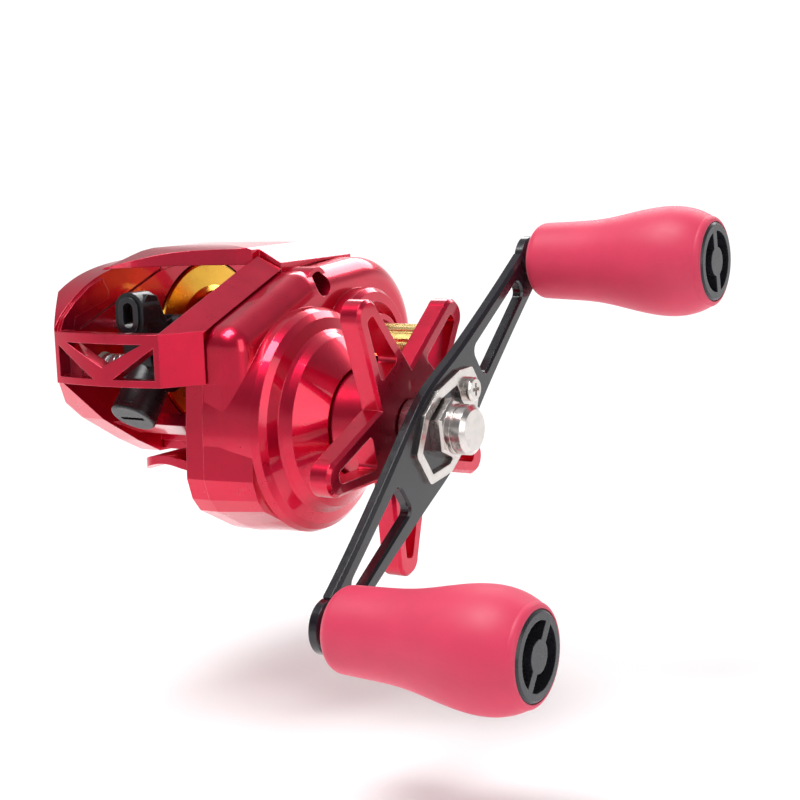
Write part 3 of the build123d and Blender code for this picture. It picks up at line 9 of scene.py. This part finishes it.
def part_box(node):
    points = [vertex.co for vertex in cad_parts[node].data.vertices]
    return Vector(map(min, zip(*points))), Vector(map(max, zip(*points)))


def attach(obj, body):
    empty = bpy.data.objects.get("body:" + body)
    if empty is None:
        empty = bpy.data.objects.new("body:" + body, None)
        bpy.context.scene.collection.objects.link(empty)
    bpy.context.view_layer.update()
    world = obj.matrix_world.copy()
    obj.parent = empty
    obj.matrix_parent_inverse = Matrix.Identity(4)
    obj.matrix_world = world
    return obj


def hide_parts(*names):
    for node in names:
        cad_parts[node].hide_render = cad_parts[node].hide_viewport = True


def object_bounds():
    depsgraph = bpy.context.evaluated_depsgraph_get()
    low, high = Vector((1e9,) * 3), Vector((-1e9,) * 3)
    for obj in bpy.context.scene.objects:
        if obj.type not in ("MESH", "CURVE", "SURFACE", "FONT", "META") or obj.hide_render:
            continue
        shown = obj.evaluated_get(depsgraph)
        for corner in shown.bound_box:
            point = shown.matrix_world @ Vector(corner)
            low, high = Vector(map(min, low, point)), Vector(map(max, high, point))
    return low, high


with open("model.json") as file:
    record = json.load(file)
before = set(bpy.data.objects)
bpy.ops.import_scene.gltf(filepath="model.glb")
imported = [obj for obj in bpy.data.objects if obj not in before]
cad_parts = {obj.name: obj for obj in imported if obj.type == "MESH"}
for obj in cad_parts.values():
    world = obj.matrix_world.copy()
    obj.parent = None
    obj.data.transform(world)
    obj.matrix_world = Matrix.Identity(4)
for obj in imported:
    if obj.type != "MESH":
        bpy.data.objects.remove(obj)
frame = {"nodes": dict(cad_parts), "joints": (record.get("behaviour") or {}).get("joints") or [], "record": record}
CAD_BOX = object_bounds()
NODES = frame["nodes"]
MM = 0.001


# ---- camera: the photograph's viewing angle ------------------------------------------
CAMERA_TURN = (32.42, 8.48, -2.11)      # azimuth, elevation and roll, in degrees
CAMERA_TARGET = (0.048, -0.018, 0.008)
CAMERA_DISTANCE = 0.31289
CAMERA_SLIDE = -0.00213                 # sideways in the picture
CAMERA_LIFT = 0.00477                   # upwards in the picture
CAMERA_LENS = 76.5
CAMERA_SENSOR = 36.0


def make_camera():
    azimuth, elevation, roll = (radians(angle) for angle in CAMERA_TURN)
    back = Vector((sin(azimuth) * cos(elevation), -cos(azimuth) * cos(elevation), sin(elevation)))
    level = Vector((cos(azimuth), sin(azimuth), 0))
    upright = back.cross(level)
    right = cos(roll) * level + sin(roll) * upright
    up = cos(roll) * upright - sin(roll) * level
    target = Vector(CAMERA_TARGET)
    place = target + back * CAMERA_DISTANCE + right * CAMERA_SLIDE + up * CAMERA_LIFT
    data = bpy.data.cameras.new("camera")
    data.lens, data.sensor_width = CAMERA_LENS, CAMERA_SENSOR
    data.clip_start, data.clip_end = 0.01, 20.0
    camera = bpy.data.objects.new("camera", data)
    bpy.context.scene.collection.objects.link(camera)
    camera.matrix_world = Matrix.Translation(place) @ Matrix((right, up, back)).transposed().to_4x4()
    bpy.context.scene.camera = camera


# ---- materials -----------------------------------------------------------------------
class Nodes:
    """A small helper round one material's node tree."""

    def __init__(self, name):
        self.material = bpy.data.materials.new(name)
        self.material.use_nodes = True
        self.tree = self.material.node_tree
        self.tree.nodes.clear()
        self.output = self.add("ShaderNodeOutputMaterial")
        self.shader = self.add("ShaderNodeBsdfPrincipled")
        self.link(self.shader, "BSDF", self.output, "Surface")
        self.place = self.add("ShaderNodeTexCoord")

    def add(self, kind, **inputs):
        node = self.tree.nodes.new(kind)
        for key, value in inputs.items():
            node.inputs[key.replace("_", " ")].default_value = value
        return node

    def link(self, source, output, target, name):
        self.tree.links.new(source.outputs[output], target.inputs[name])

    def noise(self, grain, detail=3.0, rough=0.55, stretch=None):
        """Noise whose features are about grain metres across, in the object's own space."""
        node = self.add("ShaderNodeTexNoise", Scale=1.0 / grain, Detail=detail, Roughness=rough)
        if stretch:
            mapping = self.add("ShaderNodeMapping")
            mapping.inputs["Scale"].default_value = stretch
            self.link(self.place, "Object", mapping, "Vector")
            self.link(mapping, "Vector", node, "Vector")
        else:
            self.link(self.place, "Object", node, "Vector")
        return node

    def span(self, source, output, low, high, from_low=0.3, from_high=0.7):
        node = self.tree.nodes.new("ShaderNodeMapRange")
        values = {"From Min": from_low, "From Max": from_high, "To Min": low, "To Max": high}
        for key, value in values.items():
            node.inputs[key].default_value = value
        self.link(source, output, node, "Value")
        return node

    def mix(self, factor, output, first, second):
        """Colour between two constants, or between the colour made so far and one."""
        node = self.tree.nodes.new("ShaderNodeMix")
        node.data_type = "RGBA"
        self.tree.links.new(factor.outputs[output], node.inputs[0])
        for colour, socket in ((first, node.inputs[6]), (second, node.inputs[7])):
            if isinstance(colour, bpy.types.NodeSocket):
                self.tree.links.new(colour, socket)
            else:
                socket.default_value = (*colour, 1.0)
        return node.outputs[2]

    def edge_mask(self, radius):
        """1 near sharp edges and 0 on open faces."""
        bevel = self.tree.nodes.new("ShaderNodeBevel")
        bevel.samples = 4
        bevel.inputs["Radius"].default_value = radius
        geometry = self.tree.nodes.new("ShaderNodeNewGeometry")
        dot = self.tree.nodes.new("ShaderNodeVectorMath")
        dot.operation = "DOT_PRODUCT"
        self.link(bevel, "Normal", dot, 0)
        self.link(geometry, "Normal", dot, 1)
        return self.span(dot, "Value", 1.0, 0.0, 0.80, 0.995), bevel


def tinted(colour, gain):
    return tuple(min(1.0, channel * gain) for channel in colour)


def finish(name, colour, metallic=0.0, rough=0.4, spread=0.06, mottle=0.12, patch=0.004,
           grain=0.00025, bump=0.1, depth=0.00001, coat=0.0, coat_rough=0.05, sheen=0.0,
           edge_highlight_and_wear=None, edge_radius=0.0002, stretch=None, ior=1.5):
    """One procedural finish: mottled colour, uneven gloss, fine surface grain, and a lighter colour along edges
    that is partly wear and partly a painted highlight.
    """
    n = Nodes(name)
    shader = n.shader
    shader.inputs["Metallic"].default_value = metallic
    shader.inputs["IOR"].default_value = ior
    shader.inputs["Coat Weight"].default_value = coat
    shader.inputs["Coat Roughness"].default_value = coat_rough
    shader.inputs["Sheen Weight"].default_value = sheen
    shader.inputs["Sheen Roughness"].default_value = 0.4
    shader.inputs["Sheen Tint"].default_value = (1.0, 0.8, 0.85, 1.0)
    patches = n.noise(patch, 4.0)
    shade = n.span(patches, "Fac", 0.0, 1.0)
    tone = n.mix(shade, "Result", tinted(colour, 1 - mottle), tinted(colour, 1 + mottle))
    mask, bevel = n.edge_mask(edge_radius)
    # Painted highlight: sharp edges are mixed towards a lighter colour, broken up by noise like wear, to stand in
    # for the highlights that run along edges.
    if edge_highlight_and_wear:
        wear_and_highlight_noise = n.noise(0.0015, 3.0)
        broken = n.span(wear_and_highlight_noise, "Fac", 0.15, 1.0, 0.35, 0.65)
        both = n.tree.nodes.new("ShaderNodeMath")
        both.operation = "MULTIPLY"
        n.link(mask, "Result", both, 0)
        n.link(broken, "Result", both, 1)
        tone = n.mix(both, "Value", tone, edge_highlight_and_wear)
    n.tree.links.new(tone, shader.inputs["Base Color"])
    handled = n.noise(patch * 0.6, 5.0, 0.7)
    gloss = n.span(handled, "Fac", max(0.02, rough - spread), rough + spread)
    n.link(gloss, "Result", shader, "Roughness")
    fine = n.noise(grain, 2.0, 0.6, stretch)
    relief = n.add("ShaderNodeBump", Strength=bump, Distance=depth)
    n.link(fine, "Fac", relief, "Height")
    n.link(bevel, "Normal", relief, "Normal")
    n.link(relief, "Normal", shader, "Normal")
    if coat:
        n.link(bevel, "Normal", shader, "Coat Normal")
    return n.material


def make_finishes():
    return {
        # Each edge colour is lighter than its base: a painted highlight along edges, partly also wear.
        "painted_red": finish(
            "candy_red", colour=(0.68, 0.003, 0.042), metallic=0.85, rough=0.30, spread=0.04,
            mottle=0.06, patch=0.006, grain=0.00014, bump=0.22, depth=0.00001, coat=0.75,
            coat_rough=0.05, edge_highlight_and_wear=(0.90, 0.09, 0.16), edge_radius=0.00022),
        "spool_gold": finish(
            "anodised_gold", colour=(0.95, 0.52, 0.07), metallic=1.0, rough=0.24, spread=0.05,
            mottle=0.05, patch=0.004, grain=0.00012, bump=0.25, depth=0.000006,
            edge_highlight_and_wear=(1.0, 0.75, 0.3), stretch=(0.12, 1.0, 1.0)),
        "cap_gold": finish(
            "satin_gold", colour=(0.78, 0.55, 0.20), metallic=1.0, rough=0.27, spread=0.05,
            mottle=0.07, patch=0.003, grain=0.00012, bump=0.25, depth=0.000006,
            edge_highlight_and_wear=(1.0, 0.86, 0.55), stretch=(0.12, 1.0, 1.0)),
        "arm_black": finish(
            "gloss_black", colour=(0.008, 0.006, 0.010), metallic=0.0, rough=0.22, spread=0.05,
            mottle=0.2, patch=0.004, grain=0.0002, bump=0.15, depth=0.00001, coat=0.35,
            coat_rough=0.10, edge_highlight_and_wear=(0.09, 0.085, 0.11), ior=1.5),
        "knob_soft_red": finish(
            "soft_touch_red", colour=(0.74, 0.046, 0.112), metallic=0.0, rough=0.50,
            spread=0.05, mottle=0.05, patch=0.008, grain=0.00018, bump=0.30, depth=0.00002,
            sheen=0.12),
        "cap_black": finish(
            "moulded_black", colour=(0.022, 0.022, 0.028), metallic=0.0, rough=0.28,
            spread=0.06, mottle=0.15, patch=0.004, grain=0.00025, bump=0.2, depth=0.00001,
            edge_highlight_and_wear=(0.12, 0.12, 0.13)),
        "guide_black": finish(
            "guide_black", colour=(0.007, 0.007, 0.009), metallic=0.0, rough=0.30, spread=0.06,
            mottle=0.2, patch=0.003, grain=0.0002, bump=0.3, depth=0.00002,
            edge_highlight_and_wear=(0.04, 0.04, 0.045)),
        "ceramic_grey": finish(
            "ceramic_grey", colour=(0.016, 0.016, 0.020), metallic=0.0, rough=0.16, spread=0.03,
            mottle=0.1, patch=0.002, grain=0.0002, bump=0.1, depth=0.000005, coat=0.3,
            coat_rough=0.05, edge_highlight_and_wear=(0.10, 0.10, 0.11)),
        "thumb_black": finish(
            "thumb_black", colour=(0.03, 0.03, 0.034), metallic=0.0, rough=0.5, spread=0.06,
            mottle=0.15, patch=0.003, grain=0.0003, bump=0.5, depth=0.00003,
            edge_highlight_and_wear=(0.08, 0.08, 0.085)),
        "nickel": finish(
            "nickel", colour=(0.74, 0.69, 0.66), metallic=1.0, rough=0.22, spread=0.06,
            mottle=0.06, patch=0.002, grain=0.0001, bump=0.25, depth=0.000006,
            edge_highlight_and_wear=(0.95, 0.93, 0.9)),
        "steel": finish(
            "turned_steel", colour=(0.60, 0.60, 0.61), metallic=1.0, rough=0.28, spread=0.06,
            mottle=0.08, patch=0.003, grain=0.0001, bump=0.3, depth=0.000006,
            edge_highlight_and_wear=(0.85, 0.85, 0.86), stretch=(0.1, 1.0, 1.0)),
        "screw_dark": finish(
            "blackened_steel", colour=(0.06, 0.055, 0.06), metallic=0.9, rough=0.35,
            spread=0.08, mottle=0.15, patch=0.001, grain=0.00015, bump=0.3, depth=0.00001,
            edge_highlight_and_wear=(0.35, 0.34, 0.34)),
        "brass": finish(
            "machined_brass", colour=(0.80, 0.58, 0.24), metallic=1.0, rough=0.28, spread=0.06,
            mottle=0.08, patch=0.003, grain=0.00012, bump=0.3, depth=0.000008,
            edge_highlight_and_wear=(1.0, 0.82, 0.5)),
        "fibre": finish(
            "drag_fibre", colour=(0.07, 0.065, 0.06), metallic=0.0, rough=0.8, spread=0.08,
            mottle=0.3, patch=0.001, grain=0.0003, bump=0.8, depth=0.00005),
        "white_nylon": finish(
            "white_nylon", colour=(0.74, 0.72, 0.66), metallic=0.0, rough=0.45, spread=0.06,
            mottle=0.04, patch=0.004, grain=0.0004, bump=0.2, depth=0.00001),
        "magnet_nickel": finish(
            "magnet_nickel", colour=(0.70, 0.70, 0.71), metallic=1.0, rough=0.15, spread=0.04,
            mottle=0.05, patch=0.002, grain=0.0002, bump=0.1, depth=0.000005,
            edge_highlight_and_wear=(0.9, 0.9, 0.9)),
    }


# ---- stage ---------------------------------------------------------------------------
SKY_NADIR = (0.20, 0.20, 0.21, 1)
SKY_ZENITH = (0.42, 0.42, 0.44, 1)
SKY_BANDS = ((0.24, 1.0), (0.56, 1.0), (0.66, 0.30))    # height from 0 to 1, and shade
SKY_FRONT, SKY_BACK = 0.52, 1.10        # strength on the camera's side and behind the object
BEHIND = (-0.536, 0.844, 0)             # level direction away from the camera


def make_world():
    """Pale band at the horizon, dimmer overhead and on the camera's side."""
    world = bpy.data.worlds.new("studio")
    world.use_nodes = True
    tree = world.node_tree
    tree.nodes.clear()
    place = tree.nodes.new("ShaderNodeTexCoord")
    split = tree.nodes.new("ShaderNodeSeparateXYZ")
    lift = tree.nodes.new("ShaderNodeMapRange")
    lift.inputs["From Min"].default_value = -1.0
    ramp = tree.nodes.new("ShaderNodeValToRGB")
    background = tree.nodes.new("ShaderNodeBackground")
    output = tree.nodes.new("ShaderNodeOutputWorld")
    stops = ramp.color_ramp
    stops.elements[0].position, stops.elements[0].color = 0.0, SKY_NADIR
    stops.elements[1].position, stops.elements[1].color = 1.0, SKY_ZENITH
    for position, shade in SKY_BANDS:
        stops.elements.new(position).color = (shade, shade, shade, 1)
    behind = tree.nodes.new("ShaderNodeVectorMath")
    behind.operation = "DOT_PRODUCT"
    behind.inputs[1].default_value = BEHIND
    strength = tree.nodes.new("ShaderNodeMapRange")
    values = {"From Min": -0.2, "From Max": 0.5, "To Min": SKY_FRONT, "To Max": SKY_BACK}
    for key, value in values.items():
        strength.inputs[key].default_value = value
    tree.links.new(place.outputs["Generated"], split.inputs[0])
    tree.links.new(split.outputs["Z"], lift.inputs["Value"])
    tree.links.new(lift.outputs["Result"], ramp.inputs["Fac"])
    tree.links.new(ramp.outputs["Color"], background.inputs["Color"])
    tree.links.new(place.outputs["Generated"], behind.inputs[0])
    tree.links.new(behind.outputs["Value"], strength.inputs["Value"])
    tree.links.new(strength.outputs["Result"], background.inputs["Strength"])
    tree.links.new(background.outputs["Background"], output.inputs["Surface"])
    bpy.context.scene.world = world


LIGHT_AIM = (0.03, -0.01, 0.01)
# Name, place, size and power of each light.
LIGHTS = (
    ("key", (-0.10, -0.30, 0.85), (0.50, 0.50), 7.5),
    ("fill", (0.80, -0.25, 0.30), (0.35, 0.7), 1.6),
    ("rim", (-0.1, 0.75, 0.55), (0.9, 0.3), 4.6),
)


def soft_light(name, place, size, power):
    data = bpy.data.lights.new(name, "AREA")
    data.shape = "RECTANGLE"
    data.size, data.size_y = size
    data.energy = power
    light = bpy.data.objects.new(name, data)
    bpy.context.scene.collection.objects.link(light)
    light.location = place
    light.rotation_euler = (Vector(LIGHT_AIM) - Vector(place)).to_track_quat("-Z", "Y").to_euler()


FLOOR_HALF = 0.9
FLOOR_STEPS = 24
FLOOR_FADE = (0.12, 0.42)               # distances where it starts and ends fading out
FLOOR_GAP = 0.001                       # below the lowest point of the handle's sweep


def make_floor(level):
    """Pale floor round the object that fades into the equally pale horizon."""
    mesh = bpy.data.meshes.new("floor")
    shape = bmesh.new()
    bmesh.ops.create_grid(shape, x_segments=FLOOR_STEPS, y_segments=FLOOR_STEPS, size=FLOOR_HALF)
    shape.to_mesh(mesh)
    shape.free()
    floor = bpy.data.objects.new("floor", mesh)
    floor.location = (0, 0, level)
    bpy.context.scene.collection.objects.link(floor)
    n = Nodes("pale_floor")
    n.shader.inputs["Roughness"].default_value = 0.9
    cloud = n.span(n.noise(0.4), "Fac", 0.0, 1.0)
    tone = n.mix(cloud, "Result", (0.93, 0.93, 0.93), (0.96, 0.96, 0.96))
    n.tree.links.new(tone, n.shader.inputs["Base Color"])
    reach = n.tree.nodes.new("ShaderNodeVectorMath")
    reach.operation = "LENGTH"
    n.link(n.place, "Object", reach, 0)
    cover = n.span(reach, "Value", 1.0, 0.0, *FLOOR_FADE)
    n.link(cover, "Result", n.shader, "Alpha")
    mesh.materials.append(n.material)


def lowest_sweep():
    """Lowest point that the knobs reach as the handle turns."""
    crank = next(joint for joint in frame["joints"] if joint["name"] == "crank_turn")
    axis_y, axis_z = crank["pos_m"][1:]
    reach = 0.0
    for knob in ("upper_knob", "lower_knob"):
        low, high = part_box(knob)
        middle_y, middle_z = (low[1] + high[1]) / 2, (low[2] + high[2]) / 2
        arm = ((middle_y - axis_y) ** 2 + (middle_z - axis_z) ** 2) ** 0.5
        reach = max(reach, arm + (high[2] - low[2]) / 2)
    return axis_z - reach


def make_stage():
    make_world()
    make_floor(min(CAD_BOX[0][2], lowest_sweep()) - FLOOR_GAP)
    for light in LIGHTS:
        soft_light(*light)


# ---- level-wind worm with its crossed groove -----------------------------------------
GROOVE_PITCH = 3.0 * MM
GROOVE_DEPTH = 0.5 * MM
GROOVE_FLOOR = 0.26 * MM        # half width of the groove's flat floor
GROOVE_MOUTH = 0.50 * MM        # half width where it opens at the surface
GROOVE_REACH = 10.4 * MM        # where the grooves run out, each side of the middle
JOURNAL_RADIUS = 1.5 * MM
THREAD_HALF = 11.8 * MM         # half length of the thick, grooved part
BREAK = 0.15 * MM               # broken corners
THREAD_SLICES = 190
WORM_SIDES = 96
SHARP_ANGLE = radians(35)


def groove_depth(x, angle):
    """Depth of the nearer of two opposite-handed helical grooves at a point."""
    deepest = 0.0
    for hand in (1, -1):
        along = hand * angle / tau * GROOVE_PITCH - x
        away = abs((along + GROOVE_PITCH / 2) % GROOVE_PITCH - GROOVE_PITCH / 2)
        side = (GROOVE_MOUTH - away) / (GROOVE_MOUTH - GROOVE_FLOOR)
        deepest = max(deepest, GROOVE_DEPTH * min(1.0, max(0.0, side)))
    run_out = (GROOVE_REACH - abs(x)) / GROOVE_MOUTH
    return deepest * min(1.0, max(0.0, run_out))


def lathe(name, stations, centre, sides, cut):
    """Closed turned piece along X from (x, radius) stations, less the depth that cut gives."""
    shape = bmesh.new()
    rings = []
    for x, radius in stations:
        ring = []
        for step in range(sides):
            angle = tau * step / sides
            here = radius - cut(x, angle)
            spot = (x, centre[0] + here * cos(angle), centre[1] + here * sin(angle))
            ring.append(shape.verts.new(spot))
        rings.append(ring)
    for first, second in zip(rings, rings[1:]):
        for step in range(sides):
            after = (step + 1) % sides
            shape.faces.new((first[step], first[after], second[after], second[step]))
    shape.faces.new(list(reversed(rings[0])))
    shape.faces.new(rings[-1])
    bmesh.ops.recalc_face_normals(shape, faces=shape.faces)
    mesh = bpy.data.meshes.new(name)
    shape.to_mesh(mesh)
    shape.free()
    mesh.shade_smooth()
    mesh.set_sharp_from_angle(angle=SHARP_ANGLE)
    piece = bpy.data.objects.new(name, mesh)
    bpy.context.scene.collection.objects.link(piece)
    return piece


def make_worm(finishes):
    low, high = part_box("worm_shaft")
    centre = ((low[1] + high[1]) / 2, (low[2] + high[2]) / 2)
    radius = (high[2] - low[2]) / 2
    stations = [(low[0], JOURNAL_RADIUS - BREAK), (low[0] + BREAK, JOURNAL_RADIUS),
                (-THREAD_HALF, JOURNAL_RADIUS), (-THREAD_HALF, radius - BREAK)]
    start, span = -THREAD_HALF + BREAK, 2 * (THREAD_HALF - BREAK)
    stations += [(start + span * step / THREAD_SLICES, radius) for step in range(THREAD_SLICES + 1)]
    stations += [(THREAD_HALF, radius - BREAK), (THREAD_HALF, JOURNAL_RADIUS),
                 (high[0] - BREAK, JOURNAL_RADIUS), (high[0], JOURNAL_RADIUS - BREAK)]
    worm = lathe("worm_screw", stations, centre, WORM_SIDES, groove_depth)
    worm.data.materials.append(finishes["steel"])
    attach(worm, "worm")
    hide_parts("worm_shaft")


# ---- everything ----------------------------------------------------------------------
def dress():
    finishes = make_finishes()
    slots = {row["node"]: row["material_slot"] for row in frame["record"]["subparts"]}
    for name, node in NODES.items():
        node.data.materials.clear()
        node.data.materials.append(finishes[slots[name]])
    return finishes


make_camera()
make_stage()
make_worm(dress())
bpy.context.scene.view_settings.view_transform = "Standard"
